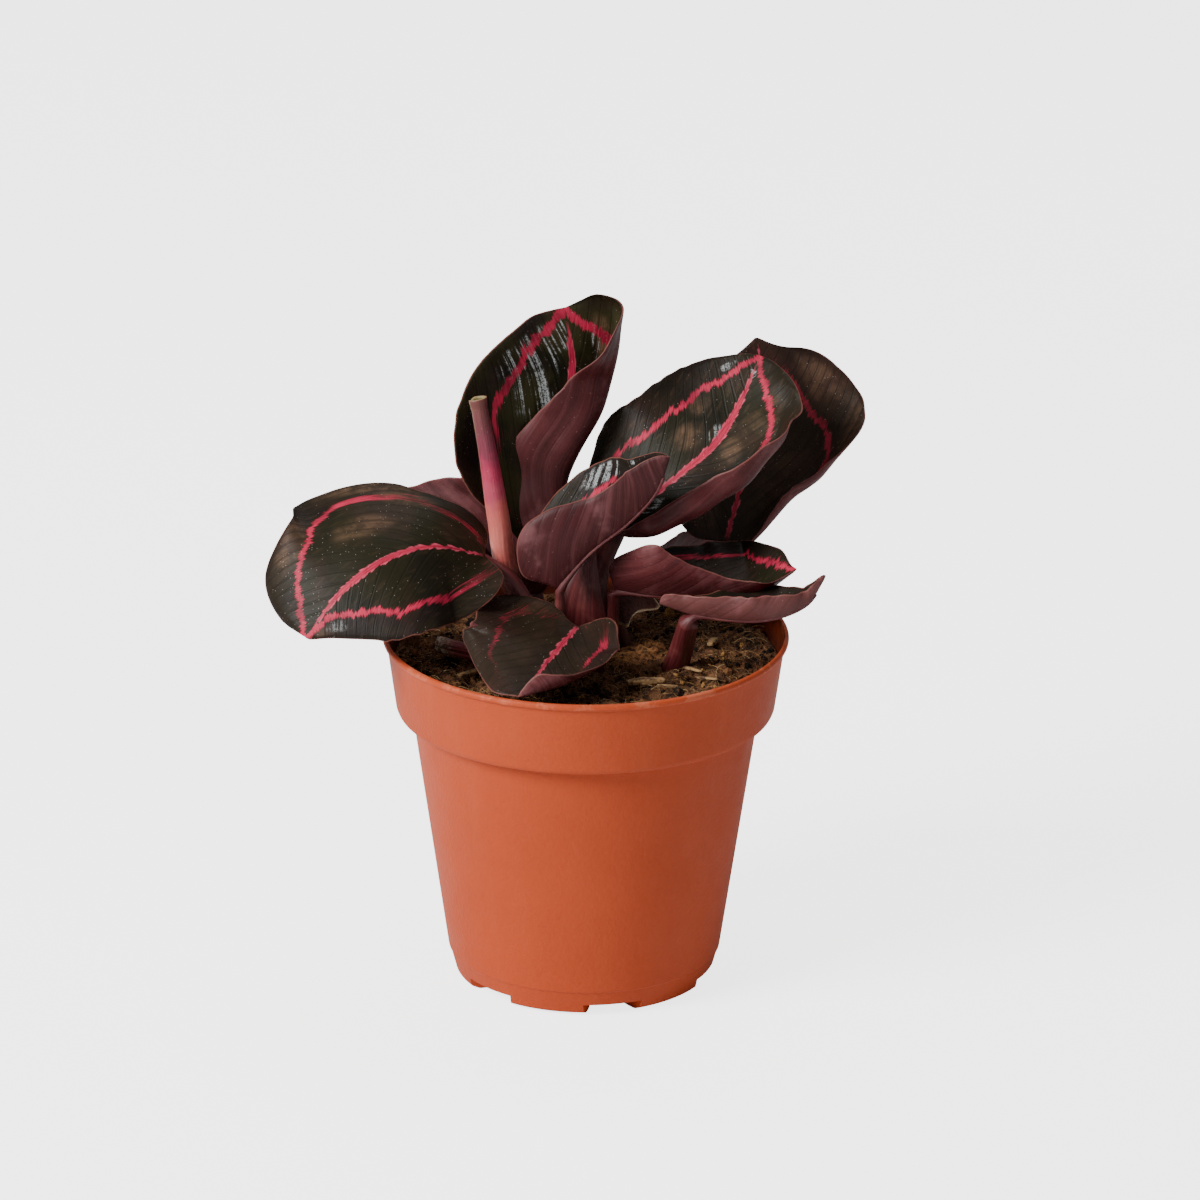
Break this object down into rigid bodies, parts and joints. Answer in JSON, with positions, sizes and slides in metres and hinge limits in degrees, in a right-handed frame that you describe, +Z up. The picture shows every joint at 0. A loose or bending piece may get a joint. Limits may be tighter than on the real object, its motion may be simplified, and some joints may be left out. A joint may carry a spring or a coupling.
{
  "type": "potted plant",
  "caption": "Young calathea with broad curled dark leaves on thin stalks, standing in soil in a tapered round plastic nursery pot with a collar and a notched foot.",
  "frame": {"origin": "centre of the pot's flat underside, on the pot's axis", "axes": "+Z up along the pot's axis, +X to the right of the picture, +Y away from its camera"},
  "size_m": [0.1553, 0.105, 0.1809],
  "materials": {
    "pot_plastic": "satin",
    "soil": "matte",
    "leaf": "semi-gloss",
    "leaf_new": "semi-gloss",
    "leaf_dry": "matte",
    "stalk": "satin"
  },
  "bodies": {
    "root": {"pot": "pot_plastic", "soil": "soil", "leaf_tall": "leaf", "leaf_right_front": "leaf", "leaf_right_back": "leaf", "leaf_left_large": "leaf", "leaf_left_back": "leaf", "leaf_centre_boat": "leaf", "leaf_front_low": "leaf", "leaf_low_right_inner": "leaf", "leaf_low_right_outer": "leaf", "leaf_back_low": "leaf", "leaf_old": "leaf_dry", "leaf_furled": "leaf_new", "stub_cut": "stalk"}
  },
  "joints": []
}
